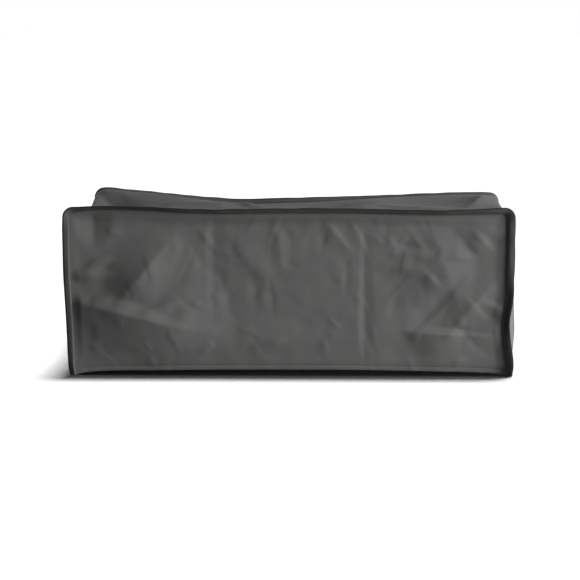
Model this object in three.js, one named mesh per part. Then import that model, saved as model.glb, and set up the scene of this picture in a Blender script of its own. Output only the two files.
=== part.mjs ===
// A fitted, box-shaped cover for a tabletop griddle, sewn from coated polyester cloth and standing on its
// hem. Millimetres. X runs across the front, Y from the front to the back, and Z up from the surface.

import * as THREE from "three";

// Overall sizes
const WIDTH = 588;
const DEPTH = 450;
const HEIGHT = 218;
const CORNER_RADIUS = 8;

// Cloth, hem and binding tape
const CLOTH = 1.5;
const HEM_WIDTH = 9;
const HEM_THICKNESS = 2.8;
const TAPE_WIDTH = 9.4;
const TAPE_THICKNESS = 2.6;
const TAPE_NOSE = 1.4;
const TAPE_CLEARANCE_BELOW = 1;
const GAP = 0.3;

// How finely each sheet is cut into rows and columns
const ROWS_UP = 17;
const COLUMNS_ACROSS = 46;
const COLUMNS_DEEP = 15;
const CORNER_STEPS = 3;
const SEAM_MARGIN = 4;

const LEFT = -WIDTH / 2;
const RIGHT = WIDTH / 2;
const FRONT = -DEPTH / 2;
const BACK = DEPTH / 2;
const SEAM_INSET = CLOTH + GAP;
const WALL_HEIGHT = HEIGHT - CORNER_RADIUS;

// How far each side seam leans in towards the middle, by height
const FRONT_LEFT_LEAN = [
  { z: 0, inward: 6.5 },
  { z: 25, inward: 5.7 },
  { z: 62, inward: 4.3 },
  { z: 102, inward: 2.2 },
  { z: 130, inward: 0.6 },
  { z: 170, inward: -0.2 },
  { z: WALL_HEIGHT, inward: -0.5 },
];
const FRONT_RIGHT_LEAN = [
  { z: 0, inward: 2.6 },
  { z: 25, inward: 3.9 },
  { z: 50, inward: 7.6 },
  { z: 76, inward: 7.6 },
  { z: 102, inward: 3.6 },
  { z: 130, inward: 3.6 },
  { z: 162, inward: 2.9 },
  { z: WALL_HEIGHT, inward: 2.4 },
];
const BACK_LEFT_LEAN = [
  { z: 0, inward: 3 },
  { z: 70, inward: 4 },
  { z: 150, inward: -1 },
  { z: WALL_HEIGHT, inward: -5.5 },
];
const BACK_RIGHT_LEAN = [
  { z: 0, inward: 3 },
  { z: 70, inward: 5 },
  { z: 150, inward: 3.5 },
  { z: WALL_HEIGHT, inward: 3 },
];

// How far the two top seams rise above, or dip below, the nominal height
const FRONT_TOP_LIFT = [
  { x: LEFT, lift: 1.5 },
  { x: -249, lift: 5.2 },
  { x: -183, lift: 4.2 },
  { x: -131, lift: 1 },
  { x: -78, lift: 0.3 },
  { x: 14, lift: 1.4 },
  { x: 80, lift: 1.3 },
  { x: 145, lift: 0.1 },
  { x: 198, lift: -0.6 },
  { x: 251, lift: 0.4 },
  { x: RIGHT, lift: 1.2 },
];
const BACK_TOP_LIFT = [
  { x: LEFT, lift: 0.5 },
  { x: -284, lift: 4.2 },
  { x: -250, lift: 2.2 },
  { x: -204, lift: -1.2 },
  { x: -160, lift: -6.4 },
  { x: -86, lift: -16 },
  { x: -27, lift: -14.9 },
  { x: 32, lift: -13.1 },
  { x: 76, lift: -10.3 },
  { x: 150, lift: -5.7 },
  { x: 209, lift: -2.8 },
  { x: 272, lift: -2.4 },
  { x: RIGHT, lift: -3.8 },
];

// The slack top between the two seams, and where along the depth it starts and ends
const TOP_SAG = [
  { x: LEFT, lift: -11 },
  { x: -210, lift: -19 },
  { x: -60, lift: -17 },
  { x: 80, lift: -14 },
  { x: 210, lift: -12 },
  { x: RIGHT, lift: -7 },
];
const SAG_FULL_FROM = 0.5;
const SAG_FULL_TO = 0.7;

// How far the front panel's bottom edge hangs clear of the surface, which the back panel's touches
const FRONT_HEM_LIFT = [
  { x: LEFT, lift: 0.5 },
  { x: -283, lift: 3 },
  { x: -262, lift: 5.5 },
  { x: -184, lift: 6.8 },
  { x: -72, lift: 8 },
  { x: 95, lift: 8 },
  { x: 185, lift: 6.6 },
  { x: 251, lift: 5.2 },
  { x: 277, lift: 3.8 },
  { x: RIGHT, lift: 0.5 },
];

// How far the tape turns outward from straight ahead, in degrees, by its place along the seam
const FRONT_TAPE_TURN = [
  { along: 0, turn: 112 },
  { along: 0.03, turn: 100 },
  { along: 0.08, turn: 96 },
  { along: 0.16, turn: 92 },
  { along: 0.19, turn: 84 },
  { along: 0.22, turn: 50 },
  { along: 0.26, turn: 30 },
  { along: 0.32, turn: 30 },
  { along: 0.38, turn: 36 },
  { along: 0.43, turn: 42 },
  { along: 0.65, turn: 42 },
  { along: 0.71, turn: 42 },
  { along: 0.77, turn: 58 },
  { along: 0.81, turn: 82 },
  { along: 0.87, turn: 78 },
  { along: 0.9, turn: 56 },
  { along: 0.93, turn: 52 },
  { along: 0.97, turn: 70 },
  { along: 1, turn: 50 },
];
const BACK_TAPE_TURN = [
  { along: 0, turn: 20 },
  { along: 0.12, turn: 45 },
  { along: 0.22, turn: 24 },
  { along: 0.36, turn: 26 },
  { along: 0.41, turn: 74 },
  { along: 0.52, turn: 76 },
  { along: 0.59, turn: 40 },
  { along: 0.7, turn: 22 },
  { along: 0.88, turn: 50 },
  { along: 1, turn: 20 },
];

// Folds of each sheet. a and b place the start of a crest: across and up on a panel, across and deep on the
// top, deep and up on a side. turn is the crest's direction in degrees, top the share of its length at which
// it is highest, and left and right are how far its two slopes spread. round is its radius. A negative rise
// makes a trough.
const FRONT_FOLDS = [
  { a: -330, b: 198, turn: 0, length: 640, top: 0.5, left: 18, right: 60, rise: -2.6, round: 3 },
  { a: -101, b: 230, turn: -90, length: 180, top: 0.3, left: 24, right: 12, rise: -1.3, round: 1.5 },
  { a: -238, b: 84, turn: 50.5, length: 158, top: 0.36, left: 60, right: 44, rise: 8, round: 2 },
  { a: -322, b: 107, turn: -14, length: 206, top: 0.48, left: 22, right: 110, rise: 8, round: 2 },
  { a: -310, b: 104, turn: -13, length: 250, top: 0.62, left: 120, right: 84, rise: 10, round: 2 },
  { a: -264, b: 250, turn: -86, length: 92, top: 0.4, left: 30, right: 30, rise: -4.5, round: 2 },
  { a: 44, b: 209, turn: -50, length: 68, top: 0.4, left: 6, right: 24, rise: 1.2, round: 1.5 },
  { a: -160, b: 42, turn: 2, length: 240, top: 0.5, left: 34, right: 28, rise: 2.0, round: 5 },
  { a: -40, b: 38, turn: 6, length: 280, top: 0.5, left: 44, right: 30, rise: 1.8, round: 6 },
  { a: 182, b: 208, turn: -70, length: 144, top: 0.45, left: 44, right: 80, rise: 4.6, round: 3 },
  { a: 237, b: 197, turn: -44, length: 48, top: 0.5, left: 9, right: 24, rise: 2.2, round: 1.5 },
  { a: 215, b: 190, turn: 4, length: 90, top: 0.5, left: 22, right: 12, rise: 2, round: 4 },
  { a: 140, b: 60, turn: -3, length: 142, top: 0.4, left: 8, right: 60, rise: 6.2, round: 1.2 },
  { a: 214, b: 50, turn: 12, length: 120, top: 0.5, left: 18, right: 32, rise: 2.8, round: 2 },
  { a: 198, b: 40, turn: 50, length: 136, top: 0.5, left: 34, right: 28, rise: 4.4, round: 2 },
  { a: 146, b: 44, turn: 47, length: 150, top: 0.45, left: 22, right: 10, rise: -1.6, round: 2 },
];
const BACK_FOLDS = [
  { a: -100, b: 222, turn: -90, length: 200, top: 0.5, left: 9, right: 12, rise: 1.6, round: 1.5 },
  { a: 98, b: 222, turn: -90, length: 215, top: 0.5, left: 10, right: 9, rise: 1.6, round: 1.5 },
  { a: -280, b: 190, turn: -38, length: 190, top: 0.4, left: 40, right: 34, rise: 6, round: 3 },
  { a: -300, b: 52, turn: 8, length: 220, top: 0.4, left: 46, right: 34, rise: 6, round: 3 },
  { a: -40, b: 70, turn: 24, length: 150, top: 0.5, left: 34, right: 26, rise: 3.5, round: 4 },
  { a: 290, b: 190, turn: -142, length: 170, top: 0.4, left: 30, right: 44, rise: 6, round: 3 },
  { a: 300, b: 78, turn: 172, length: 210, top: 0.4, left: 30, right: 44, rise: 6, round: 3 },
];
const TOP_FOLDS = [
  { a: -102, b: -235, turn: 90, length: 400, top: 0.5, left: 10, right: 12, rise: 1.2, round: 2 },
  { a: 98, b: -235, turn: 90, length: 400, top: 0.5, left: 12, right: 10, rise: 1.2, round: 2 },
  { a: -90, b: 230, turn: -70, length: 130, top: 0.35, left: 26, right: 22, rise: 5, round: 3 },
  { a: -298, b: 235, turn: -70, length: 240, top: 0.48, left: 50, right: 30, rise: -11, round: 2 },
  { a: -98, b: 232, turn: -92, length: 300, top: 0.3, left: 26, right: 130, rise: 8, round: 3 },
  { a: 284, b: 230, turn: -101, length: 240, top: 0.4, left: 36, right: 24, rise: 8, round: 2 },
  { a: 110, b: 236, turn: -90, length: 320, top: 0.35, left: 170, right: 60, rise: 6, round: 4 },
  { a: 250, b: 214, turn: -96, length: 200, top: 0.4, left: 12, right: 40, rise: 3, round: 2 },
  { a: -290, b: -60, turn: 55, length: 260, top: 0.5, left: 44, right: 40, rise: 5, round: 4 },
  { a: -110, b: 20, turn: -28, length: 220, top: 0.5, left: 50, right: 44, rise: -5, round: 5 },
  { a: 290, b: -120, turn: 128, length: 300, top: 0.5, left: 44, right: 48, rise: 5, round: 4 },
  { a: -40, b: 90, turn: 14, length: 190, top: 0.5, left: 40, right: 34, rise: 3.5, round: 5 },
];
const LEFT_SIDE_FOLDS = [
  { a: -230, b: 82, turn: -4, length: 330, top: 0.4, left: 50, right: 50, rise: 7, round: 3 },
  { a: 230, b: 128, turn: 170, length: 300, top: 0.4, left: 40, right: 44, rise: -5, round: 4 },
  { a: -210, b: 190, turn: -52, length: 170, top: 0.4, left: 30, right: 40, rise: 5, round: 3 },
  { a: 215, b: 196, turn: -128, length: 170, top: 0.4, left: 40, right: 30, rise: 5, round: 3 },
];
const RIGHT_SIDE_FOLDS = [
  { a: -165, b: 236, turn: -90, length: 290, top: 0.6, left: 70, right: 36, rise: 6, round: 4 },
  { a: -200, b: 66, turn: -4, length: 360, top: 0.5, left: 46, right: 44, rise: 6, round: 3 },
  { a: 220, b: 150, turn: 178, length: 300, top: 0.4, left: 40, right: 44, rise: -5, round: 4 },
  { a: -190, b: 200, turn: -60, length: 150, top: 0.4, left: 30, right: 30, rise: 4, round: 3 },
  { a: 60, b: 40, turn: 50, length: 180, top: 0.5, left: 34, right: 36, rise: 5, round: 3 },
];

// How far from a seam a fold starts and reaches its full height, and how much of it is left at a hem
const FOLD_FREE_FROM = 4;
const FOLD_FULL_FROM = 18;
const HEM_CALM = 0.5;
const HEM_CALM_TO = 40;

// The share of a fold's spread that is left at its ends, and the share of each slope that runs out softly
const SPREAD_AT_ENDS = 0.4;
const SOFT_FOOT = 0.35;

// The stiff seams stand proud of the slack panels by this much, which is reached at this distance from them
const SEAM_RECESS = 2.4;
const RECESS_FROM = 3;
const RECESS_TO = 14;

// How far from the front and back corner seams a side wall still follows their lean
const FRONT_LEAN_FADE = 60;
const BACK_LEFT_FADE = 240;
const BACK_RIGHT_FADE = 110;

const { degToRad, lerp, smoothstep } = THREE.MathUtils;

// A smooth curve through one column of a table
function curveThrough(table, key, value) {
  const keys = table.map((row) => row[key]);
  const values = table.map((row) => row[value]);
  const curve = new THREE.CubicInterpolant(keys, values, 1);
  return (position) => curve.evaluate(position)[0];
}

const frontLean = {
  left: curveThrough(FRONT_LEFT_LEAN, "z", "inward"),
  right: curveThrough(FRONT_RIGHT_LEAN, "z", "inward"),
};
const backLean = {
  left: curveThrough(BACK_LEFT_LEAN, "z", "inward"),
  right: curveThrough(BACK_RIGHT_LEAN, "z", "inward"),
};
const frontTopLift = curveThrough(FRONT_TOP_LIFT, "x", "lift");
const backTopLift = curveThrough(BACK_TOP_LIFT, "x", "lift");
const topSag = curveThrough(TOP_SAG, "x", "lift");
const frontHemLift = curveThrough(FRONT_HEM_LIFT, "x", "lift");
const backHemLift = () => 0;

// The height of all the folds at one place of a sheet. Each is a ridge with two nearly flat slopes, which
// runs out towards both its ends.
function foldHeight(folds, a, b) {
  let height = 0;
  for (const fold of folds) {
    const cos = Math.cos(degToRad(fold.turn));
    const sin = Math.sin(degToRad(fold.turn));
    const along = ((a - fold.a) * cos + (b - fold.b) * sin) / fold.length;
    const across = (b - fold.b) * cos - (a - fold.a) * sin;
    const taper = smoothstep(Math.min(along / fold.top, (1 - along) / (1 - fold.top)), 0, 1);
    const reach = (across > 0 ? fold.left : fold.right) * lerp(SPREAD_AT_ENDS, 1, taper);
    const fallen = (Math.hypot(across, fold.round) - fold.round) / reach;
    const slope = Math.max(1 - fallen, 0);
    const soft = slope < SOFT_FOOT ? slope ** 2 / (2 * SOFT_FOOT) : slope - SOFT_FOOT / 2;
    height += (fold.rise * taper * soft) / (1 - SOFT_FOOT / 2);
  }
  return height;
}

// Folds start clear of the seams and are calmer at the hem
function calm(seamDistance, hemDistance) {
  const atSeam = smoothstep(seamDistance, FOLD_FREE_FROM, FOLD_FULL_FROM);
  return atSeam * lerp(HEM_CALM, 1, smoothstep(hemDistance, 0, HEM_CALM_TO));
}

function evenly(from, to, steps) {
  return Array.from({ length: steps + 1 }, (_, step) => lerp(from, to, step / steps));
}

// Shares of the wall's height at which its rows lie: the hem's two edges first, then even steps
const CLIMBS = [0, ...evenly(HEM_WIDTH / WALL_HEIGHT, 1, ROWS_UP)];

// Angles that turn a wall's outward direction up into the top's
const CORNER_ANGLES = evenly(0, Math.PI / 2, CORNER_STEPS);

// The cover's outline seen from the front, from the left hem over the top to the right hem, set in by a
// distance. Each station has its place and its outward direction.
function outlineStations(inset) {
  const radius = CORNER_RADIUS - inset;
  const centreX = RIGHT - CORNER_RADIUS;
  const left = [];
  for (const climb of CLIMBS.slice(0, -1)) {
    left.push({ x: LEFT + inset, z: climb * WALL_HEIGHT, outX: -1, outZ: 0 });
  }
  for (const angle of CORNER_ANGLES) {
    const outX = -Math.cos(angle);
    const outZ = Math.sin(angle);
    left.push({ x: -centreX + radius * outX, z: WALL_HEIGHT + radius * outZ, outX, outZ });
  }
  const across = evenly(-centreX, centreX, COLUMNS_ACROSS)
    .slice(1, -1)
    .map((x) => ({ x, z: HEIGHT - inset, outX: 0, outZ: 1 }));
  const right = left.map((place) => ({ ...place, x: -place.x, outX: -place.outX })).reverse();
  return [...left, ...across, ...right];
}

// How much of the top's rise and sag a place takes part in: none at the hem, all of it from the corner up
function riseShare(z) {
  return Math.min(z / WALL_HEIGHT, 1);
}

// The top's rise or sag at one place of it
function topLift(x, y) {
  const depth = (y - FRONT) / DEPTH;
  const fromFront = 1 - smoothstep(depth, 0, SAG_FULL_FROM);
  const fromBack = smoothstep(depth, SAG_FULL_TO, 1);
  const between = 1 - fromFront - fromBack;
  return fromFront * frontTopLift(x) + fromBack * backTopLift(x) + between * topSag(x);
}

// How far to the right a place moves where the seam beside it leans
function leanShift(x, y, z) {
  const atFront = 1 - smoothstep(y - FRONT, 0, FRONT_LEAN_FADE);
  const atBackLeft = smoothstep(y - BACK, -BACK_LEFT_FADE, 0);
  const atBackRight = smoothstep(y - BACK, -BACK_RIGHT_FADE, 0);
  const left = atFront * frontLean.left(z) + atBackLeft * backLean.left(z);
  const right = atFront * frontLean.right(z) + atBackRight * backLean.right(z);
  return lerp(left, -right, (x - LEFT) / WIDTH);
}

// Where one outline station lies at one depth, folds included, set in by the thickness for the inner face
function stripPlace(station, y, inward) {
  const seamDistance = Math.min(y - FRONT, BACK - y);
  const sideFolds = station.x < 0 ? LEFT_SIDE_FOLDS : RIGHT_SIDE_FOLDS;
  const onSide = calm(seamDistance, station.z) * foldHeight(sideFolds, y, station.z);
  const onTop = calm(seamDistance, HEM_CALM_TO) * foldHeight(TOP_FOLDS, station.x, y);
  const out = station.outX ** 2 * onSide + station.outZ ** 2 * onTop - inward;
  const x = station.x + station.outX * out + leanShift(station.x, y, station.z);
  const z = station.z + station.outZ * out + riseShare(station.z) * topLift(station.x, y);
  return new THREE.Vector3(x, y, z);
}

// A closed sheet of rows and columns: place gives a point of its outer face, and of its inner one
function sheet(rows, columns, place) {
  const geometry = new THREE.BoxGeometry(1, 1, 1, rows, columns, 1);
  const corners = geometry.attributes.position;
  const corner = new THREE.Vector3();
  for (let index = 0; index < corners.count; index++) {
    corner.fromBufferAttribute(corners, index);
    const row = Math.round((corner.x + 0.5) * rows);
    const column = Math.round((corner.y + 0.5) * columns);
    corner.copy(place(row, column, corner.z > 0));
    corners.setXYZ(index, corner.x, corner.y, corner.z);
  }
  geometry.deleteAttribute("uv");
  geometry.computeVertexNormals();
  return geometry;
}

// The wrap strip runs up the left side, over the top and down the right side, with a hem at both ends
function wrapStrip() {
  const stations = outlineStations(0);
  const start = FRONT + GAP;
  const end = BACK - GAP;
  const middle = evenly(start + SEAM_MARGIN, end - SEAM_MARGIN, COLUMNS_DEEP);
  const depths = [start, ...middle, end];
  return sheet(stations.length - 1, depths.length - 1, (row, column, outside) => {
    const station = stations[row];
    const beside = column < 2 || column > depths.length - 3;
    const hemmed = !beside && station.z <= HEM_WIDTH + GAP;
    const thickness = hemmed ? HEM_THICKNESS : CLOTH;
    return stripPlace(station, depths[column], outside ? 0 : thickness);
  });
}

// A front or back panel fills the outline inside the strip's edge, with a hem at the bottom
function panel(seamY, hemLift, folds) {
  const outward = Math.sign(seamY);
  const besideTop = CLIMBS.length - 1;
  const seam = outlineStations(0).slice(besideTop, -besideTop);
  const edge = outlineStations(SEAM_INSET).slice(besideTop, -besideTop);
  const columns = edge.map((place, index) => ({ x: place.x, top: place.z, seamX: seam[index].x }));
  if (outward > 0) {
    columns.reverse();
  }
  return sheet(columns.length - 1, CLIMBS.length - 1, (row, column, outside) => {
    const { x: flatX, top, seamX } = columns[row];
    const climb = CLIMBS[column];
    const flatZ = climb * top;
    const x = flatX + leanShift(flatX, seamY, flatZ);
    const z = flatZ + riseShare(flatZ) * topLift(seamX, seamY) + (1 - climb) * hemLift(flatX);
    const seamDistance = Math.min(flatX - LEFT, RIGHT - flatX, HEIGHT - flatZ);
    const recess = SEAM_RECESS * smoothstep(seamDistance, RECESS_FROM, RECESS_TO);
    const fold = calm(seamDistance, z) * foldHeight(folds, x, z) - recess;
    const beside = seamDistance < SEAM_INSET + SEAM_MARGIN;
    const thickness = column < 2 && !beside ? HEM_THICKNESS : CLOTH;
    const y = seamY + outward * (fold - GAP - (outside ? 0 : thickness));
    return new THREE.Vector3(x, y, z);
  });
}

// The folded tape follows the seam: a flat bar with a rounded nose, which turns outward as its table says
function binding(seamY, turnAlong) {
  const outward = Math.sign(seamY);
  const seam = outlineStations(0).map((station) => stripPlace(station, seamY, 0));
  const last = seam.length - 1;
  seam[0].z = TAPE_CLEARANCE_BELOW;
  seam[last].z = TAPE_CLEARANCE_BELOW;
  const lengths = seam.map((point, index) => (index ? point.distanceTo(seam[index - 1]) : 0));
  const whole = lengths.reduce((sum, length) => sum + length, 0);
  let travelled = 0;
  const shares = lengths.map((length) => (travelled += length) / whole);
  const steps = [
    { ahead: 0, beyond: 0, turned: 0, thick: 1 },
    { ahead: TAPE_NOSE, beyond: 0, turned: 0.5, thick: 1 },
    { ahead: TAPE_NOSE, beyond: TAPE_WIDTH - 2 * TAPE_NOSE, turned: 1, thick: 1 },
    { ahead: TAPE_NOSE, beyond: TAPE_WIDTH - TAPE_NOSE, turned: 1, thick: 0.5 },
  ];
  if (outward < 0) {
    steps.reverse();
  }
  return sheet(last, steps.length - 1, (row, column, outside) => {
    const before = seam[Math.max(row - 1, 0)];
    const after = seam[Math.min(row + 1, last)];
    const tangent = after.clone().sub(before).normalize();
    const { ahead, beyond, turned, thick } = steps[column];
    const turn = degToRad(turnAlong(shares[row])) * turned;
    const half = ((outside ? 1 : -1) * thick * TAPE_THICKNESS) / 2;
    const out = -TAPE_THICKNESS / 2 + beyond * Math.sin(turn) + half * Math.cos(turn);
    const forward = ahead + beyond * Math.cos(turn) - half * Math.sin(turn);
    const x = seam[row].x - tangent.z * out;
    const z = seam[row].z + tangent.x * out;
    return new THREE.Vector3(x, seamY + outward * forward, Math.max(z, TAPE_CLEARANCE_BELOW));
  });
}

const clothFinish = new THREE.MeshStandardMaterial({ color: 0x454544, roughness: 0.5, metalness: 0 });
const tapeFinish = new THREE.MeshStandardMaterial({ color: 0x3a3a39, roughness: 0.7, metalness: 0 });

function piece(name, geometry, material) {
  const mesh = new THREE.Mesh(geometry, material);
  mesh.name = name;
  return mesh;
}

const frontPanel = panel(FRONT, frontHemLift, FRONT_FOLDS);
const backPanel = panel(BACK, backHemLift, BACK_FOLDS);
const frontTapeTurn = curveThrough(FRONT_TAPE_TURN, "along", "turn");
const backTapeTurn = curveThrough(BACK_TAPE_TURN, "along", "turn");

const cover = new THREE.Group();
cover.add(piece("front_panel", frontPanel, clothFinish));
cover.add(piece("back_panel", backPanel, clothFinish));
cover.add(piece("wrap_strip", wrapStrip(), clothFinish));
cover.add(piece("front_binding", binding(FRONT, frontTapeTurn), tapeFinish));
cover.add(piece("back_binding", binding(BACK, backTapeTurn), tapeFinish));

export default cover;
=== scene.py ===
"""A fitted cloth cover for a tabletop griddle, as it stands in the photo: dark grey coated polyester, boxy,
with outward seams round its front and back panels. Pieces are sized in millimetres and built in metres."""

import math

import bmesh
import bpy
import numpy as np
from mathutils import Matrix, Vector, noise


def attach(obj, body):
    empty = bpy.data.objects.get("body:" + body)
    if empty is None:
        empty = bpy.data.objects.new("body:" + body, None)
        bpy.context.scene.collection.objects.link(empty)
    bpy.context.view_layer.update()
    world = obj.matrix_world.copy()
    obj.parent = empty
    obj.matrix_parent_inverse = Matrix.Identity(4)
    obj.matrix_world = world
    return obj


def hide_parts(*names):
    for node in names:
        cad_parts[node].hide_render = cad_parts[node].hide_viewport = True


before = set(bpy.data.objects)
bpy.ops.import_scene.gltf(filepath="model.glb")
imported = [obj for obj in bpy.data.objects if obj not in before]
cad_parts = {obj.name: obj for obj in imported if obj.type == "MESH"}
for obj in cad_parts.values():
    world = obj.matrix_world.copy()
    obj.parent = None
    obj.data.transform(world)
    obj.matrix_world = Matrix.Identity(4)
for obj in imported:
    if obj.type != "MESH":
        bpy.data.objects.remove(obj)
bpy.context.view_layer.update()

# The view
# A long lens from nearly four metres in front, a little right of the middle and 46 cm above the surface, so
# the top is seen only as a narrow band.
LENS_MM = 176.7
SENSOR_MM = 36
CAMERA_PLACE = (0.110, -3.975, 0.4577)
LOOKS_DOWN = 5.22
LOOKS_LEFT = 1.67

lens = bpy.data.cameras.new("view")
lens.sensor_width = SENSOR_MM
lens.lens = LENS_MM
camera = bpy.data.objects.new("view", lens)
camera.location = CAMERA_PLACE
camera.rotation_euler = (math.radians(90 - LOOKS_DOWN), 0, math.radians(LOOKS_LEFT))
bpy.context.scene.collection.objects.link(camera)
bpy.context.scene.camera = camera

# Front panel
# A rectangle with two rounded top corners, cut from the cloth, with its lower edge turned up inside and
# stitched. It hangs a few millimetres clear of the surface, carried by the stiff seams, and keeps two
# creases from its packing.

# The cloth is plain-woven 600 denier polyester with a thin coat on the inside. The yarn is dull and dark
# grey, and the coat gives it a soft, wide sheen, so each crumple shows as a lighter or darker patch.
CLOTH_GREY = "#454544"
CLOTH_WARM = "#464644"
CLOTH_COOL = "#444445"
CLOTH_ROUGHNESS = 0.5
CLOTH_SHEEN = 0.03
CLOTH_GLOSS = 0.5
SHEEN_ROUGHNESS = 0.4
YARN_MM = 1.0  # twice the real spacing, which is too fine to show
WEAVE_DEPTH_MM = 0.05
WEAVE_STRENGTH = 0.6
MOTTLE_MM = 35
MOTTLE_DETAIL = 2.0
MOTTLE_COOL_TO = 0.36
MOTTLE_WARM_FROM = 0.64


def linear(hex_colour):
    """An sRGB hex colour as linear red, green, blue and alpha."""
    shares = [int(hex_colour[at : at + 2], 16) / 255 for at in (1, 3, 5)]
    return [s / 12.92 if s <= 0.04045 else ((s + 0.055) / 1.055) ** 2.4 for s in shares] + [1]


def add_node(tree, kind, settings=(), **inputs):
    """Adds a node. A setting is an attribute's value; an input is a value, or an output socket to link."""
    node = tree.nodes.new(kind)
    for name, value in dict(settings).items():
        setattr(node, name, value)
    for name, value in inputs.items():
        socket = node.inputs[int(name[1:])] if name[1:].isdigit() else node.inputs[name.replace("_", " ")]
        if isinstance(value, bpy.types.NodeSocket):
            tree.links.new(value, socket)
        else:
            socket.default_value = value
    return node


def woven(name, grey, warm, cool, roughness, sheen, gloss):
    """A plain-woven cloth: yarns crossing at right angles along the sheet's own UV map, faintly mottled."""
    material = bpy.data.materials.new(name)
    material.use_nodes = True
    tree = material.node_tree
    shader = tree.nodes["Principled BSDF"]
    shader.inputs["Roughness"].default_value = roughness
    shader.inputs["Sheen Weight"].default_value = sheen
    shader.inputs["Sheen Roughness"].default_value = SHEEN_ROUGHNESS
    shader.inputs["Specular IOR Level"].default_value = gloss
    place = add_node(tree, "ShaderNodeTexCoord").outputs["Object"]
    patches = add_node(
        tree, "ShaderNodeTexNoise", Vector=place, Scale=1000 / MOTTLE_MM, Detail=MOTTLE_DETAIL
    )
    tint = add_node(tree, "ShaderNodeValToRGB", Fac=patches.outputs["Fac"])
    stops = tint.color_ramp.elements
    stops[0].position, stops[0].color = MOTTLE_COOL_TO, linear(cool)
    stops[1].position, stops[1].color = MOTTLE_WARM_FROM, linear(warm)
    stops.new(0.5).color = linear(grey)
    tree.links.new(tint.outputs["Color"], shader.inputs["Base Color"])
    flat_place = add_node(tree, "ShaderNodeUVMap", {"uv_map": "cloth"}).outputs["UV"]
    turns = add_node(tree, "ShaderNodeVectorMath", {"operation": "SCALE"}, Scale=math.pi * 1000 / YARN_MM)
    tree.links.new(flat_place, turns.inputs[0])
    split = add_node(tree, "ShaderNodeSeparateXYZ", Vector=turns.outputs[0])
    warp = add_node(tree, "ShaderNodeMath", {"operation": "SINE"}, _0=split.outputs["X"])
    weft = add_node(tree, "ShaderNodeMath", {"operation": "SINE"}, _0=split.outputs["Y"])
    over = add_node(
        tree, "ShaderNodeMath", {"operation": "MULTIPLY"}, _0=warp.outputs[0], _1=weft.outputs[0]
    )
    bump = add_node(
        tree,
        "ShaderNodeBump",
        Height=over.outputs[0],
        Distance=WEAVE_DEPTH_MM / 1000,
        Strength=WEAVE_STRENGTH,
    )
    tree.links.new(bump.outputs["Normal"], shader.inputs["Normal"])
    return material


cover_cloth = woven(
    "coated_polyester", CLOTH_GREY, CLOTH_WARM, CLOTH_COOL, CLOTH_ROUGHNESS, CLOTH_SHEEN, CLOTH_GLOSS
)

# Sizes of the cover, of its seams and of its hems
WIDTH = 588
DEPTH = 450
HEIGHT = 218
CORNER_RADIUS = 8
WALL_HEIGHT = HEIGHT - CORNER_RADIUS
LEFT, RIGHT = -WIDTH / 2, WIDTH / 2
FRONT, BACK = -DEPTH / 2, DEPTH / 2
CLOTH_THICKNESS = 0.6
SEAM_INSET = 1.8
SEAM_GAP = 0.3
HEM_WIDTH = 9
HEM_STITCH = 7
HEM_ROUND = 0.8
HEM_INSIDE = 1.3
HEM_TUCK = 1.6
HEM_TUCK_TO = 16
GROOVE_WIDTH = 0.9
GROOVE_OUTSIDE = 0.35
GROOVE_INSIDE = 0.5
BULGE_MIDDLE = 3.5
BULGE_WIDTH = 2.2
BULGE_HEIGHT = 0.2
FRONT_GRID = 2

# How far each side seam leans in towards the middle, by height
FRONT_LEFT_LEAN = [(0, 6.5), (25, 5.7), (62, 4.3), (102, 2.2), (130, 0.6), (170, -0.2), (WALL_HEIGHT, -0.5)]
FRONT_RIGHT_LEAN = [
    (0, 2.6), (25, 3.9), (50, 7.6), (76, 7.6), (102, 3.6), (130, 3.6), (162, 2.9), (WALL_HEIGHT, 2.4),
]

# How far the top seam rises above, or dips below, its nominal height, by its place across
FRONT_TOP_LIFT = [
    (LEFT, 1.5), (-249, 5.2), (-183, 4.2), (-131, 1), (-78, 0.3), (14, 1.4),
    (80, 1.3), (145, 0.1), (198, -0.6), (251, 0.4), (RIGHT, 1.2),
]

# How far the hem hangs clear of the surface, by its place across
FRONT_HEM_LIFT = [
    (LEFT, 0.5), (-283, 3), (-262, 5.5), (-184, 6.8), (-72, 8), (95, 8),
    (185, 6.6), (251, 5.2), (277, 3.8), (RIGHT, 0.5),
]

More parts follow.
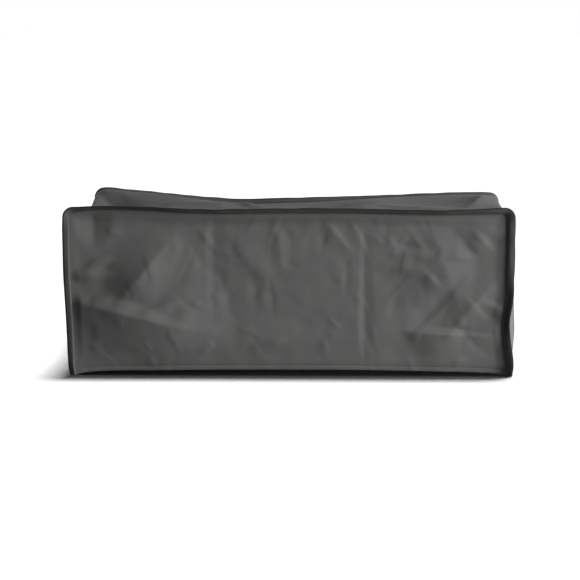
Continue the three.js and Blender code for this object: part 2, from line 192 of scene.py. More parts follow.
# Folds: where each starts across and up the panel, its direction in degrees, its length, the share of that
# length at which it is highest, how far it slopes away on its left and right, its height and how round its
# crest is. A negative height is a trough. The columns: start across, start up, turn, length, highest at,
# left, right, height, round.
FRONT_FOLDS = [
    (-330, 198, 0, 640, 0.5, 18, 60, -2.6, 3),
    (-101, 230, -90, 180, 0.3, 24, 12, -1.3, 1.5),
    (99, 232, -90, 240, 0.6, 14, 8, -1.1, 1.5),
    (-238, 84, 50.5, 158, 0.36, 60, 44, 8, 2),
    (-322, 107, -14, 206, 0.48, 22, 110, 8, 2),
    (-310, 104, -13, 250, 0.62, 120, 84, 10, 2),
    (-308, 129, 6, 84, 0.5, 15, 12, 3.4, 1.5),
    (-212, 79, 17, 76, 0.5, 6, 16, 1.6, 1.5),
    (-276, 143, 18, 50, 0.5, 10, 9, 2.2, 2),
    (-264, 250, -86, 92, 0.4, 30, 30, -4.5, 2),
    (-84, 196, -52, 110, 0.5, 20, 14, 1.0, 3),
    (-75, 160, 4, 26, 0.5, 4, 6, 0.4, 1),
    (44, 209, -50, 68, 0.4, 6, 24, 1.2, 1.5),
    (-120, 122, 2, 150, 0.4, 14, 30, -0.8, 4),
    (-160, 42, 2, 240, 0.5, 34, 28, 2.0, 5),
    (-40, 38, 6, 280, 0.5, 44, 30, 1.8, 6),
    (182, 208, -70, 144, 0.45, 44, 80, 4.6, 3),
    (237, 197, -44, 48, 0.5, 9, 24, 2.2, 1.5),
    (196, 160, -2, 60, 0.5, 12, 7, 1.2, 1.5),
    (215, 190, 4, 90, 0.5, 22, 12, 2, 4),
    (140, 60, -3, 142, 0.4, 8, 60, 6.2, 1.2),
    (214, 50, 12, 120, 0.5, 18, 32, 2.8, 2),
    (198, 40, 50, 136, 0.5, 34, 28, 4.4, 2),
    (146, 44, 47, 150, 0.45, 22, 10, -1.6, 2),
    (248, 102, -22, 56, 0.6, 8, 14, 2.6, 1.5),
    (122, 144, -1, 70, 0.6, 8, 14, 1.2, 2),
    (172, 144, -45, 42, 0.5, 8, 18, 1.5, 1.5),
    (128, 178, -9, 56, 0.5, 7, 6, -1.0, 1.5),
    (110, 166, -4, 90, 0.5, 8, 12, 0.8, 1.5),
]
SPREAD_AT_ENDS = 0.4
SOFT_FOOT = 0.35
FOLD_FREE_FROM = 2
FOLD_FULL_FROM = 16
HEM_CALM = 0.5
HEM_CALM_TO = 40
SEAM_RECESS = 2.4
RECESS_FROM = 2
RECESS_OVER = 15
RECESS_AT_LEFT = 0.3
RECESS_FULL_AFTER = 80

# Uneven waves, with a column each for their height, their size and their seed, and the creases of handling
FRONT_WAVES = [(0.4, 22, 3)]
CREASE_COUNT = 190
CREASE_SEED = 11
CREASE_LENGTHS = (20, 80)
CREASE_SPREADS = (3, 16)
CREASE_STEEPNESS = (-0.032, 0.042)
CREASE_HIGHEST_AT = (0.25, 0.75)
CREASE_ROUND = 1


def curve_through(points):
    """A smooth curve through (place, value) pairs."""
    places, values = np.array(points, float).T
    secants = np.diff(values) / np.diff(places)
    slopes = np.concatenate([secants[:1], (secants[1:] + secants[:-1]) / 2, secants[-1:]])

    def value(at):
        at = np.clip(at, places[0], places[-1])
        start = np.clip(np.searchsorted(places, at, side="right") - 1, 0, len(places) - 2)
        span = places[start + 1] - places[start]
        t = (at - places[start]) / span
        rise = values[start + 1] - values[start]
        leaving, arriving = slopes[start] * span, slopes[start + 1] * span
        bend = 3 * rise - 2 * leaving - arriving
        return values[start] + t * (leaving + t * (bend + t * (leaving + arriving - 2 * rise)))

    return value


def smooth_step(value, low, high):
    share = np.clip((value - low) / (high - low), 0, 1)
    return share * share * (3 - 2 * share)


def fold_height(folds, a, b):
    """The height of all the folds at each place of a sheet. Each is a ridge with two nearly flat slopes,
    which runs out towards both its ends."""
    height = np.zeros_like(a)
    for start_a, start_b, turn, length, highest_at, left, right, rise, roundness in folds:
        cos, sin = math.cos(math.radians(turn)), math.sin(math.radians(turn))
        along = ((a - start_a) * cos + (b - start_b) * sin) / length
        across = (b - start_b) * cos - (a - start_a) * sin
        taper = smooth_step(np.minimum(along / highest_at, (1 - along) / (1 - highest_at)), 0, 1)
        reach = np.where(across > 0, left, right) * (SPREAD_AT_ENDS + (1 - SPREAD_AT_ENDS) * taper)
        slope = np.clip(1 - (np.hypot(across, roundness) - roundness) / reach, 0, 1)
        eased = np.where(slope < SOFT_FOOT, slope * slope / (2 * SOFT_FOOT), slope - SOFT_FOOT / 2)
        height += rise * taper * eased / (1 - SOFT_FOOT / 2)
    return height


def crumple(a, b, waves):
    """Uneven waves over a sheet, between plus and minus the height that each row gives them."""
    height = np.zeros_like(a)
    for rise, size, seed in waves:
        height += rise * np.array([noise.noise(Vector((x / size, y / size, seed))) for x, y in zip(a, b)])
    return height


def creases(a, b, low, high, amount, seed):
    """The height of many small creases of handling, which lie at random over a sheet from its low to its
    high corner."""
    chance = np.random.default_rng(seed)
    rows = []
    for _ in range(amount):
        place = chance.uniform(low, high)
        turn = chance.uniform(-180, 180)
        length = chance.uniform(*CREASE_LENGTHS)
        left, right = chance.uniform(*CREASE_SPREADS, 2)
        rise = (left + right) * chance.uniform(*CREASE_STEEPNESS)
        highest_at = chance.uniform(*CREASE_HIGHEST_AT)
        rows.append((*place, turn, length, highest_at, left, right, rise, CREASE_ROUND))
    return fold_height(rows, a, b)


def calm(seam_distance, hem_distance):
    """Folds start clear of the seams and are calmer at the hem."""
    at_seam = smooth_step(seam_distance, FOLD_FREE_FROM, FOLD_FULL_FROM)
    return at_seam * (HEM_CALM + (1 - HEM_CALM) * smooth_step(hem_distance, 0, HEM_CALM_TO))


def seam_recess(x, seam_distance):
    """The stiff seams stand proud of the slack cloth between them, least at the left."""
    share = RECESS_AT_LEFT + (1 - RECESS_AT_LEFT) * smooth_step(x, LEFT, LEFT + RECESS_FULL_AFTER)
    return SEAM_RECESS * share * np.clip((seam_distance - RECESS_FROM) / RECESS_OVER, 0, 1)


def cut_sheet(name, across, along, place):
    """A sheet of small squares, cut flat and then carried to its place. across and along are the places of
    its grid lines in the flat cloth, and place turns them into x, y and z, all in millimetres."""
    sheet_mesh = bmesh.new()
    sheet_mesh.loops.layers.uv.new("cloth")
    bmesh.ops.create_grid(
        sheet_mesh, x_segments=len(across) - 1, y_segments=len(along) - 1, size=0.5, calc_uvs=True
    )
    mesh = bpy.data.meshes.new(name)
    for face in sheet_mesh.faces:
        face.smooth = True
    sheet_mesh.to_mesh(mesh)
    sheet_mesh.free()
    corners = np.empty(3 * len(mesh.vertices))
    mesh.vertices.foreach_get("co", corners)
    shares = corners.reshape(-1, 3) + 0.5
    flat_a = np.interp(shares[:, 0] * (len(across) - 1), np.arange(len(across)), across)
    flat_b = np.interp(shares[:, 1] * (len(along) - 1), np.arange(len(along)), along)
    places = np.column_stack(place(flat_a, flat_b)) / 1000
    mesh.vertices.foreach_set("co", places.ravel())
    uv = mesh.uv_layers["cloth"].data
    corner_of = np.empty(len(mesh.loops), int)
    mesh.loops.foreach_get("vertex_index", corner_of)
    flat = np.column_stack([flat_a, flat_b])[corner_of] / 1000
    uv.foreach_set("uv", flat.ravel())
    mesh.update()
    sheet_object = bpy.data.objects.new(name, mesh)
    bpy.context.scene.collection.objects.link(sheet_object)
    wall = sheet_object.modifiers.new("thickness", "SOLIDIFY")
    wall.thickness = CLOTH_THICKNESS / 1000
    wall.offset = -1
    return sheet_object


# Grid lines across a hem, by their distance from its folded edge, close together where it turns
HEM_LINES = [-9, -7.8, -7, -6.2, -4, -2, -1, -0.4, 0, 0.4, 1, 2, 3.5, 5, 6.2, 7, 7.8, 9]


def hem_rise(d):
    """Height above the folded edge at a distance along the cloth from it. On the turned-up ply that distance
    is below zero."""
    return np.sqrt(d * d + HEM_ROUND**2) - HEM_ROUND


def hem_inward(d):
    """How far inside the outer face each ply lies, with a groove where the stitches pull both together and a
    slight bulge between the groove and the edge."""
    turned = 0.5 * (1 - d / np.sqrt(d * d + HEM_ROUND**2))
    groove = np.exp(-(((np.abs(d) - HEM_STITCH) / GROOVE_WIDTH) ** 2))
    bulge = np.exp(-(((np.abs(d) - BULGE_MIDDLE) / BULGE_WIDTH) ** 2))
    tuck = HEM_TUCK * (1 - smooth_step(np.abs(d), 0, HEM_TUCK_TO))
    outer_ply = GROOVE_OUTSIDE * groove - BULGE_HEIGHT * bulge
    return tuck + turned * (HEM_INSIDE - GROOVE_INSIDE * groove) + (1 - turned) * outer_ply


def corner_top(x, inset):
    """Height of the outline over a place across, with its rounded corners."""
    beyond = np.clip(np.abs(x) - (RIGHT - CORNER_RADIUS), 0, CORNER_RADIUS - inset)
    return WALL_HEIGHT + np.sqrt(np.maximum((CORNER_RADIUS - inset) ** 2 - beyond**2, 0))


def rise_share(z):
    return np.minimum(z / WALL_HEIGHT, 1)


# Grid lines beside a seam, by their distance from it
EDGE_STEPS = [0, 0.3, 1, 2, 3.2, 4.5, 6, 8, 10]


def even_lines(low, high, spacing):
    return np.linspace(low, high, max(2, round((high - low) / spacing) + 1))


def panel_columns(inset, spacing):
    near = LEFT + inset + np.array(EDGE_STEPS)
    return np.concatenate([near, even_lines(near[-1], -near[-1], spacing)[1:-1], -near[::-1]])


def panel_place(seam_y, lean_left, lean_right, top_lift, hem_lift, relief):
    """Where each place of a panel's flat cloth hangs. relief tells how far it stands out of the seam's
    plane."""
    outward = math.copysign(1, seam_y)

    def place(flat_x, d):
        rise = hem_rise(d)
        top = corner_top(flat_x, SEAM_INSET)
        climb = rise / hem_rise(HEIGHT)
        flat_z = climb * top
        share = (flat_x - LEFT) / WIDTH
        x = flat_x + lean_left(flat_z) * (1 - share) - lean_right(flat_z) * share
        z = flat_z + rise_share(flat_z) * top_lift(flat_x) + (1 - climb) * hem_lift(flat_x)
        seam_distance = np.minimum(np.minimum(flat_x - LEFT, RIGHT - flat_x), HEIGHT - flat_z)
        out = relief(x, z, seam_distance) - SEAM_GAP - hem_inward(d)
        return x, seam_y + outward * out, z

    return place


front_left_lean = curve_through(FRONT_LEFT_LEAN)
front_right_lean = curve_through(FRONT_RIGHT_LEAN)
front_top_lift = curve_through(FRONT_TOP_LIFT)
front_hem_lift = curve_through(FRONT_HEM_LIFT)


def front_relief(x, z, seam_distance):
    small = crumple(x, z, FRONT_WAVES) + creases(x, z, (LEFT, 0), (RIGHT, HEIGHT), CREASE_COUNT, CREASE_SEED)
    return calm(seam_distance, z) * (fold_height(FRONT_FOLDS, x, z) + small) - seam_recess(x, seam_distance)


panel_rows = np.concatenate([HEM_LINES, even_lines(HEM_WIDTH, HEIGHT, FRONT_GRID)[1:]])
front_place = panel_place(
    FRONT, front_left_lean, front_right_lean, front_top_lift, front_hem_lift, front_relief
)
front_panel = cut_sheet("front_panel_cloth", panel_columns(SEAM_INSET, FRONT_GRID), panel_rows, front_place)
front_panel.data.materials.append(cover_cloth)
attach(front_panel, "root")
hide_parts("front_panel")

# Back panel
# The same cut of cloth as the front one, mirrored and sewn to the strip's back edge. Its hem is turned up
# and stitched in the same way, and stands on the surface.
BACK_LEFT_LEAN = [(0, 3), (70, 4), (150, -1), (WALL_HEIGHT, -5.5)]
BACK_RIGHT_LEAN = [(0, 3), (70, 5), (150, 3.5), (WALL_HEIGHT, 3)]
BACK_TOP_LIFT = [
    (LEFT, 0.5), (-284, 4.2), (-250, 2.2), (-204, -1.2), (-160, -6.4), (-86, -16), (-27, -14.9),
    (32, -13.1), (76, -10.3), (150, -5.7), (209, -2.8), (272, -2.4), (RIGHT, -3.8),
]
BACK_FOLDS = [
    (-100, 222, -90, 200, 0.5, 9, 12, 1.6, 1.5),
    (98, 222, -90, 215, 0.5, 10, 9, 1.6, 1.5),
    (-280, 190, -38, 190, 0.4, 40, 34, 6, 3),
    (-300, 52, 8, 220, 0.4, 46, 34, 6, 3),
    (-40, 70, 24, 150, 0.5, 34, 26, 3.5, 4),
    (290, 190, -142, 170, 0.4, 30, 44, 6, 3),
    (300, 78, 172, 210, 0.4, 30, 44, 6, 3),
]
BACK_WAVES = [(0.4, 24, 13), (0.2, 9, 17)]
BACK_GRID = 3

back_left_lean = curve_through(BACK_LEFT_LEAN)
back_right_lean = curve_through(BACK_RIGHT_LEAN)
back_top_lift = curve_through(BACK_TOP_LIFT)


def back_relief(x, z, seam_distance):
    folded = fold_height(BACK_FOLDS, x, z) + crumple(x, z, BACK_WAVES)
    return calm(seam_distance, z) * folded - seam_recess(x, seam_distance)


back_place = panel_place(BACK, back_left_lean, back_right_lean, back_top_lift, lambda x: 0 * x, back_relief)
back_panel = cut_sheet("back_panel_cloth", -panel_columns(SEAM_INSET, BACK_GRID), panel_rows, back_place)
back_panel.data.materials.append(cover_cloth)
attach(back_panel, "root")
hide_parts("back_panel")

# Wrap strip
# One strip of the cloth, up the left side, over the top and down the right side, hemmed at both ends. The
# top is slack: it sags between the two seams and is pulled up to stiff peaks at the back corners.
TOP_SAG = [(LEFT, -11), (-210, -19), (-60, -17), (80, -14), (210, -12), (RIGHT, -7)]
SAG_FULL_FROM = 0.5
SAG_FULL_TO = 0.7
LEAN_FADE = 60
BACK_LEFT_FADE = 240
BACK_RIGHT_FADE = 110
TOP_FOLDS = [
    (-102, -235, 90, 400, 0.5, 10, 12, 1.2, 2),
    (98, -235, 90, 400, 0.5, 12, 10, 1.2, 2),
    (-90, 230, -70, 130, 0.35, 26, 22, 5, 3),
    (-298, 235, -70, 240, 0.48, 50, 30, -11, 2),
    (-98, 232, -92, 300, 0.3, 26, 130, 8, 3),
    (284, 230, -101, 240, 0.4, 36, 24, 8, 2),
    (110, 236, -90, 320, 0.35, 170, 60, 6, 4),
    (250, 214, -96, 200, 0.4, 12, 40, 3, 2),
    (-290, -60, 55, 260, 0.5, 44, 40, 5, 4),
    (-110, 20, -28, 220, 0.5, 50, 44, -5, 5),
    (290, -120, 128, 300, 0.5, 44, 48, 5, 4),
    (-40, 90, 14, 190, 0.5, 40, 34, 3.5, 5),
]
LEFT_SIDE_FOLDS = [
    (-230, 82, -4, 330, 0.4, 50, 50, 7, 3),
    (230, 128, 170, 300, 0.4, 40, 44, -5, 4),
    (-210, 190, -52, 170, 0.4, 30, 40, 5, 3),
    (215, 196, -128, 170, 0.4, 40, 30, 5, 3),
]
RIGHT_SIDE_FOLDS = [
    (-165, 236, -90, 290, 0.6, 70, 36, 6, 4),
    (-200, 66, -4, 360, 0.5, 46, 44, 6, 3),
    (220, 150, 178, 300, 0.4, 40, 44, -5, 4),
    (-190, 200, -60, 150, 0.4, 30, 30, 4, 3),
    (60, 40, 50, 180, 0.5, 34, 36, 5, 3),
]
STRIP_WAVES = [(0.6, 24, 23), (0.3, 9, 27)]
NEAR_HEM = HEM_WIDTH + 10
STRIP_GRID = 3.5
CORNER_STEPS = 7
CORNER_LENGTH = math.pi / 2 * CORNER_RADIUS
TOP_LENGTH = 2 * (RIGHT - CORNER_RADIUS)
GIRTH = 2 * WALL_HEIGHT + 2 * CORNER_LENGTH + TOP_LENGTH

top_sag = curve_through(TOP_SAG)


def outline(girth):
    """Nominal x and z and the outward direction at a distance along the girth, from the left hem's edge."""
    from_end = np.minimum(girth, GIRTH - girth)
    side = np.where(girth < GIRTH / 2, -1, 1)
    angle = np.clip((from_end - WALL_HEIGHT) / CORNER_RADIUS, 0, math.pi / 2)
    out_x, out_z = side * np.cos(angle), np.sin(angle)
    on_top = np.maximum(from_end - WALL_HEIGHT - CORNER_LENGTH, 0)
    x = side * (RIGHT - CORNER_RADIUS - on_top) + CORNER_RADIUS * out_x
    z = np.minimum(from_end, WALL_HEIGHT) + CORNER_RADIUS * out_z
    return x, z, out_x, out_z


def top_lift(x, y):
    depth = (y - FRONT) / DEPTH
    from_front = 1 - smooth_step(depth, 0, SAG_FULL_FROM)
    from_back = smooth_step(depth, SAG_FULL_TO, 1)
    between = 1 - from_front - from_back
    return from_front * front_top_lift(x) + from_back * back_top_lift(x) + between * top_sag(x)


def strip_place(girth, y):
    """Where a place of the strip's flat cloth lies."""
    end_distance = np.minimum(girth, GIRTH - girth)
    near_hem = end_distance < NEAR_HEM
    on_strip = np.where(end_distance < 0, np.where(girth < 0, 0, GIRTH), girth)
    x, z, out_x, out_z = outline(on_strip)
    z = np.where(near_hem, hem_rise(end_distance), z)
    seam_distance = np.minimum(y - FRONT, BACK - y)
    at_front = 1 - smooth_step(y - FRONT, 0, LEAN_FADE)
    at_back_left = smooth_step(y - BACK, -BACK_LEFT_FADE, 0)
    at_back_right = smooth_step(y - BACK, -BACK_RIGHT_FADE, 0)
    left_lean = at_front * front_left_lean(z) + at_back_left * back_left_lean(z)
    right_lean = at_front * front_right_lean(z) + at_back_right * back_right_lean(z)
    share = (x - LEFT) / WIDTH
    side = np.where(x < 0, fold_height(LEFT_SIDE_FOLDS, y, z), fold_height(RIGHT_SIDE_FOLDS, y, z))
    small = crumple(girth, y, STRIP_WAVES)
    on_side = calm(seam_distance, z) * (side + small)
    on_top = calm(seam_distance, HEM_CALM_TO) * (fold_height(TOP_FOLDS, x, y) + small)
    out = out_x**2 * on_side + out_z**2 * on_top - np.where(near_hem, hem_inward(end_distance), 0)
    new_x = x + out_x * out + left_lean * (1 - share) - right_lean * share
    return new_x, y, z + out_z * out + rise_share(z) * top_lift(x, y)


side_lines = even_lines(HEM_WIDTH, WALL_HEIGHT, STRIP_GRID)[1:]
corner_lines = WALL_HEIGHT + np.linspace(0, CORNER_LENGTH, CORNER_STEPS)[1:]
half_girth = np.concatenate([HEM_LINES, side_lines, corner_lines])
top_lines = even_lines(half_girth[-1], GIRTH - half_girth[-1], STRIP_GRID)[1:-1]
strip_lines = np.concatenate([half_girth, top_lines, GIRTH - half_girth[::-1]])
edge_lines = SEAM_GAP + np.array(EDGE_STEPS)
inner_lines = even_lines(FRONT + edge_lines[-1], BACK - edge_lines[-1], STRIP_GRID)[1:-1]
depth_lines = np.concatenate([FRONT + edge_lines, inner_lines, BACK - edge_lines[::-1]])
wrap_strip = cut_sheet("wrap_strip_cloth", strip_lines, depth_lines, strip_place)
wrap_strip.data.materials.append(cover_cloth)
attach(wrap_strip, "root")
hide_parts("wrap_strip")

# Seam bindings
# A narrow woven polyester tape, folded over the raw edges of each seam and stitched down through both its
# plies. It follows the seam up, over and down, and its own stiffness turns it aside more or less on its way.
TAPE_WIDTH = 9.4
TAPE_HALF = 1.3
TAPE_BEND = 1.4
TAPE_CLEARANCE_BELOW = 1
TAPE_GRID = 2.5
TAPE_WAVES = [(1, 25, 37)]
TAPE_UNEVEN_WIDTH = 0.04
TAPE_UNEVEN_TURN = 6

# How far the tape turns outward from straight ahead, in degrees, by its share of the way along the seam
FRONT_TAPE_TURN = [
    (0, 112), (0.03, 100), (0.08, 96), (0.16, 92), (0.19, 84), (0.22, 50), (0.26, 30),
    (0.32, 30), (0.38, 36), (0.43, 42), (0.65, 42), (0.71, 42), (0.77, 58), (0.81, 82),
    (0.87, 78), (0.9, 56), (0.93, 52), (0.97, 70), (1, 50),
]
BACK_TAPE_TURN = [
    (0, 20), (0.12, 45), (0.22, 24), (0.36, 26), (0.41, 74),
    (0.52, 76), (0.59, 40), (0.7, 22), (0.88, 50), (1, 20),
]

# Grid lines across the tape, by their distance from its fold, close together where it turns
TAPE_LINES = [-9.4, -8.2, -6.6, -5, -3.4, -2, -1, -0.4, 0, 0.4, 1, 2, 3.4, 5, 6.6, 8.2, 9.4]

# The tape is darker and duller than the cloth. Along its fold the weave is darkened as painted shade, which
# stands for the shadow in the crevice at the fold: fully up to the first distance, and less and less from
# there to the second.
TAPE_GREY = "#393938"
TAPE_WARM = "#3b3b3a"
TAPE_COOL = "#373738"
TAPE_ROUGHNESS = 0.7
TAPE_SHEEN = 0.02
TAPE_GLOSS = 0.15
PAINTED_SHADE_FULL_TO = 0.8
PAINTED_SHADE_ENDS_AT = 2.2
PAINTED_SHADE_LEVEL = 0.35

tape_cloth = woven("binding_tape", TAPE_GREY, TAPE_WARM, TAPE_COOL, TAPE_ROUGHNESS, TAPE_SHEEN, TAPE_GLOSS)
tape_tree = tape_cloth.node_tree
tape_colour = tape_tree.nodes["Principled BSDF"].inputs["Base Color"]
woven_colour = tape_colour.links[0].from_socket
# Painted shade: the tape's colour is darkened by its distance from the fold, where the fold's shadow would
# lie
tape_place_flat = add_node(tape_tree, "ShaderNodeUVMap", {"uv_map": "cloth"}).outputs["UV"]
tape_split = add_node(tape_tree, "ShaderNodeSeparateXYZ", Vector=tape_place_flat)
from_fold = add_node(tape_tree, "ShaderNodeMath", {"operation": "ABSOLUTE"}, _0=tape_split.outputs["Y"])
shade = add_node(
    tape_tree,
    "ShaderNodeMapRange",
    Value=from_fold.outputs[0],
    From_Min=PAINTED_SHADE_FULL_TO / 1000,
    From_Max=PAINTED_SHADE_ENDS_AT / 1000,
    To_Min=PAINTED_SHADE_LEVEL,
    To_Max=1.0,
)
painted_shade_colour = add_node(
    tape_tree, "ShaderNodeVectorMath", {"operation": "SCALE"}, _0=woven_colour, Scale=shade.outputs["Result"]
)
tape_tree.links.new(painted_shade_colour.outputs[0], tape_colour)


def tape_place(seam_y, turn_along):
    """Where each place of the tape lies. across is zero at its fold, which is the outer edge."""
    outward = math.copysign(1, seam_y)
    turn_at = curve_through(turn_along)

    def place(girth, across):
        on_seam = np.full_like(girth, seam_y)
        x, _, z = strip_place(girth, on_seam)
        x0, _, z0 = strip_place(np.maximum(girth - 1, 0), on_seam)
        x1, _, z1 = strip_place(np.minimum(girth + 1, GIRTH), on_seam)
        length = np.hypot(x1 - x0, z1 - z0)
        out_x, out_z = -(z1 - z0) / length, (x1 - x0) / length
        uneven = crumple(girth, 0 * girth, TAPE_WAVES)
        reach = (TAPE_WIDTH - np.abs(across)) * (1 + TAPE_UNEVEN_WIDTH * uneven)
        turned_by = turn_at(girth / GIRTH) + TAPE_UNEVEN_TURN * uneven
        turn = np.radians(turned_by) * smooth_step(reach, 0, 2 * TAPE_BEND)
        ahead, beyond = np.minimum(reach, TAPE_BEND), np.maximum(reach - TAPE_BEND, 0)
        side = TAPE_HALF * np.tanh(across)
        forward = ahead + beyond * np.cos(turn) - side * np.sin(turn)
        out = -TAPE_HALF + beyond * np.sin(turn) + side * np.cos(turn)
        height = np.maximum(z + out_z * out, TAPE_CLEARANCE_BELOW)
        return x + out_x * out, seam_y + outward * forward, height

    return place


up_lines = even_lines(0, WALL_HEIGHT, TAPE_GRID)
over_from = WALL_HEIGHT + CORNER_LENGTH
over_lines = even_lines(over_from, GIRTH - over_from, TAPE_GRID)[1:-1]
seam_lines = np.concatenate(
    [up_lines, corner_lines, over_lines, GIRTH - corner_lines[::-1], GIRTH - up_lines[::-1]]
)
for name, seam_y, turns in (
    ("front_binding", FRONT, FRONT_TAPE_TURN),
    ("back_binding", BACK, BACK_TAPE_TURN),
):
    tape = cut_sheet(name + "_tape", seam_lines, np.array(TAPE_LINES), tape_place(seam_y, turns))
    tape.data.materials.append(tape_cloth)
    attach(tape, "root")
    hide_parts(name)

# Stitches
# Grey polyester thread, one straight row of lockstitches through each folded tape and one along each hem,
# about seven stitches in 25 mm. Each stitch that shows on the outside dips into the cloth at both its ends.
STITCH_PITCH = 3.6
STITCH_LENGTH = 2.9
THREAD_RADIUS = 0.17
TAPE_STITCH_FROM_EDGE = 1.8
THREAD_STANDS_OUT = 0.06
ROW_ENDS_SHORT = 4
ROW_STEP = 2
THREAD_GREY = "#4c4c4b"
THREAD_ROUGHNESS = 0.7

# Spun polyester, a little lighter than the cloth and dull
sewing_thread = bpy.data.materials.new("sewing_thread")
sewing_thread.use_nodes = True
thread_shader = sewing_thread.node_tree.nodes["Principled BSDF"]
thread_shader.inputs["Base Color"].default_value = linear(THREAD_GREY)
thread_shader.inputs["Roughness"].default_value = THREAD_ROUGHNESS


def thread_stitch(mesh):
    """One stitch, along its own x: a closed capsule of a few dozen faces that bows down at its ends."""
    turned = Matrix.Rotation(math.pi / 2, 4, "Y")
    bmesh.ops.create_uvsphere(mesh, u_segments=6, v_segments=5, radius=THREAD_RADIUS / 1000, matrix=turned)
    half = STITCH_LENGTH / 2000
    for vertex in mesh.verts:
        share = vertex.co.x / (THREAD_RADIUS / 1000)
        vertex.co.x = share * half
        vertex.co.z -= THREAD_RADIUS / 1000 * share * share
    for face in mesh.faces:
        face.smooth = True


stitch_mesh = bmesh.new()
thread_stitch(stitch_mesh)
one_stitch = bpy.data.meshes.new("one_stitch")
stitch_mesh.to_mesh(one_stitch)
stitch_mesh.free()


def sew(name, lines):
    """Rows of stitches. Each line has places on the cloth's face and places straight above them, in
    millimetres."""
    rows = bmesh.new()
    for face_line, above_line in lines:
        face_line, above_line = np.column_stack(face_line), np.column_stack(above_line)
        travelled = np.concatenate([[0], np.cumsum(np.linalg.norm(np.diff(face_line, axis=0), axis=1))])
        for centre in np.arange(STITCH_PITCH, travelled[-1] - STITCH_PITCH / 2, STITCH_PITCH):
            before, here, after, above = (
                Vector([np.interp(centre + ahead, travelled, line[:, axis]) for axis in range(3)])
                for line, ahead in ((face_line, -1), (face_line, 0), (face_line, 1), (above_line, 0))
            )
            along = (after - before).normalized()
            side = (above - here).cross(along).normalized()
            normal = along.cross(side)
            rows.from_mesh(one_stitch)
            rows.verts.ensure_lookup_table()
            placed = Matrix((along, side, normal)).transposed().to_4x4()
            placed.translation = (here + normal * THREAD_STANDS_OUT) / 1000
            bmesh.ops.transform(rows, matrix=placed, verts=rows.verts[-len(one_stitch.vertices) :])
    mesh = bpy.data.meshes.new(name)
    rows.to_mesh(mesh)
    rows.free()
    thread = bpy.data.objects.new(name, mesh)
    bpy.context.scene.collection.objects.link(thread)
    thread.data.materials.append(sewing_thread)
    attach(thread, "root")


def tape_rows(seam_y, turns):
    """The same row of stitches as it shows on both plies of a tape."""
    place = tape_place(seam_y, turns)
    girth = even_lines(ROW_ENDS_SHORT, GIRTH - ROW_ENDS_SHORT, ROW_STEP)
    rows = []
    for ply in (-1, 1):
        across = np.full_like(girth, ply * (TAPE_WIDTH - TAPE_STITCH_FROM_EDGE))
        face, opposite = np.array(place(girth, across)), np.array(place(girth, -across))
        rows.append((face, face + (face - opposite) / (2 * TAPE_HALF)))
    return rows


def panel_hem_row(seam_y, place):
    x = even_lines(LEFT + ROW_ENDS_SHORT, RIGHT - ROW_ENDS_SHORT, ROW_STEP)
    face = np.array(place(x, np.full_like(x, HEM_STITCH)))
    return face, face + np.array([[0], [math.copysign(1, seam_y)], [0]])


def strip_hem_row(girth, to_side):
    y = even_lines(FRONT + ROW_ENDS_SHORT, BACK - ROW_ENDS_SHORT, ROW_STEP)
    face = np.array(strip_place(np.full_like(y, girth), y))
    return face, face + np.array([[to_side], [0], [0]])


for name, lines in (
    ("front_binding_stitches", tape_rows(FRONT, FRONT_TAPE_TURN)),
    ("back_binding_stitches", tape_rows(BACK, BACK_TAPE_TURN)),
    ("front_hem_stitches", [panel_hem_row(FRONT, front_place)]),
    ("back_hem_stitches", [panel_hem_row(BACK, back_place)]),
    ("side_hem_stitches", [strip_hem_row(HEM_STITCH, -1), strip_hem_row(GIRTH - HEM_STITCH, 1)]),
):
    sew(name, lines)

# Floor and lights
# A white table top that throws no light back, in a dim room with a white horizon. A wide soft light low at
# the right stands near enough to fade towards the left and shows each crease, two weak ones fill in from the
# left and from behind, and one from high behind lights the table alone.
FLOOR_HALF_SIZE = 150
TABLE_WHITE = "#f0f0f0"
TABLE_ROUGHNESS = 0.9
FRONT_MIDDLE = Vector((0, FRONT / 1000, 0.1))
KEY_ELEVATION = 11.5
KEY_TO_RIGHT = 72
KEY_DISTANCE = 2.6
KEY_WIDTH = 1.9
KEY_WATTS = 352
FILL_ELEVATION = 8
FILL_TO_RIGHT = -35
FILL_SPREAD = 120
FILL_STRENGTH = 0.28
BEHIND_ELEVATION = -12
BEHIND_TO_RIGHT = -140
BEHIND_SPREAD = 80
BEHIND_STRENGTH = 1.1
TABLE_ELEVATION = 77
TABLE_TO_RIGHT = 152
TABLE_SPREAD = 18
TABLE_STRENGTH = 4.3
ROOM_BELOW = 0.03
ROOM_ABOVE = 0.06
HORIZON = 0.5
HORIZON_BAND = 0.02

floor_mesh = bmesh.new()
bmesh.ops.create_grid(floor_mesh, x_segments=1, y_segments=1, size=FLOOR_HALF_SIZE)
floor_data = bpy.data.meshes.new("floor")
floor_mesh.to_mesh(floor_data)
floor_mesh.free()
floor = bpy.data.objects.new("floor", floor_data)
floor.visible_diffuse = False
floor.visible_glossy = False
floor.visible_shadow = False
bpy.context.scene.collection.objects.link(floor)

# A plain white table top, matt
white_table = bpy.data.materials.new("white_table")
white_table.use_nodes = True
table_shader = white_table.node_tree.nodes["Principled BSDF"]
table_shader.inputs["Base Color"].default_value = linear(TABLE_WHITE)
table_shader.inputs["Roughness"].default_value = TABLE_ROUGHNESS
floor.data.materials.append(white_table)

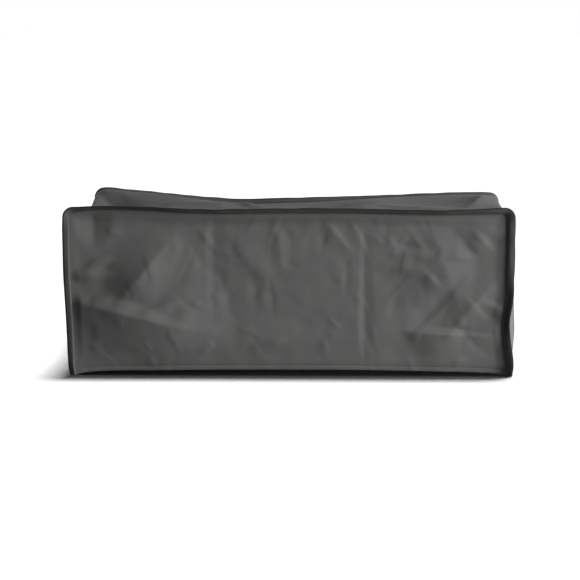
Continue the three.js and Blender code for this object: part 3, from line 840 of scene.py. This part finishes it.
# A row for each light: its name, how high and how far to the right it stands, in degrees, how wide it
# spreads, how strong it is and what it lights. The one without a spread is the softbox.
cloth_pieces = [thing for thing in bpy.data.objects if thing.type == "MESH" and thing != floor]
lights = (
    ("wide_softbox", KEY_ELEVATION, KEY_TO_RIGHT, None, KEY_WATTS, cloth_pieces),
    ("pale_wall", FILL_ELEVATION, FILL_TO_RIGHT, FILL_SPREAD, FILL_STRENGTH, cloth_pieces),
    ("wall_behind", BEHIND_ELEVATION, BEHIND_TO_RIGHT, BEHIND_SPREAD, BEHIND_STRENGTH, cloth_pieces),
    ("table_light", TABLE_ELEVATION, TABLE_TO_RIGHT, TABLE_SPREAD, TABLE_STRENGTH, [floor]),
)
for name, elevation, to_right, spread, strength, lit in lights:
    light = bpy.data.lights.new(name, "SUN" if spread else "AREA")
    light.energy = strength
    if spread:
        light.angle = math.radians(spread)
    else:
        light.shape = "DISK"
        light.size = KEY_WIDTH
    lamp = bpy.data.objects.new(name, light)
    lamp.visible_glossy = bool(spread)  # the softbox's reflection would burn the top out, seen from the left
    rise, swing = math.radians(elevation), math.radians(to_right)
    away = Vector((math.sin(swing) * math.cos(rise), -math.cos(swing) * math.cos(rise), math.sin(rise)))
    lamp.location = FRONT_MIDDLE + KEY_DISTANCE * away
    lamp.rotation_euler = away.to_track_quat("Z", "Y").to_euler()
    bpy.context.scene.collection.objects.link(lamp)
    lit_things = bpy.data.collections.new(name + "_falls_on")
    for thing in lit:
        lit_things.objects.link(thing)
    lamp.light_linking.receiver_collection = lit_things

# The room is dim below and above, and white in a narrow band at the level of the eye
room = bpy.data.worlds.new("white_room")
room.use_nodes = True
direction = add_node(room.node_tree, "ShaderNodeTexCoord").outputs["Generated"]
height = add_node(room.node_tree, "ShaderNodeSeparateXYZ", Vector=direction).outputs["Z"]
share = add_node(room.node_tree, "ShaderNodeMapRange", Value=height, From_Min=-1.0, From_Max=1.0)
walls = add_node(room.node_tree, "ShaderNodeValToRGB", Fac=share.outputs["Result"])
levels = walls.color_ramp.elements
levels[0].position, levels[0].color = HORIZON - HORIZON_BAND, (ROOM_BELOW, ROOM_BELOW, ROOM_BELOW, 1)
levels[1].position, levels[1].color = HORIZON + HORIZON_BAND, (ROOM_ABOVE, ROOM_ABOVE, ROOM_ABOVE, 1)
levels.new(HORIZON - HORIZON_BAND / 4).color = (1, 1, 1, 1)
levels.new(HORIZON + HORIZON_BAND / 2).color = (1, 1, 1, 1)
backdrop = room.node_tree.nodes["Background"]
room.node_tree.links.new(walls.outputs["Color"], backdrop.inputs["Color"])
backdrop.inputs["Strength"].default_value = 1.0
bpy.context.scene.world = room
bpy.context.scene.view_settings.view_transform = "Standard"
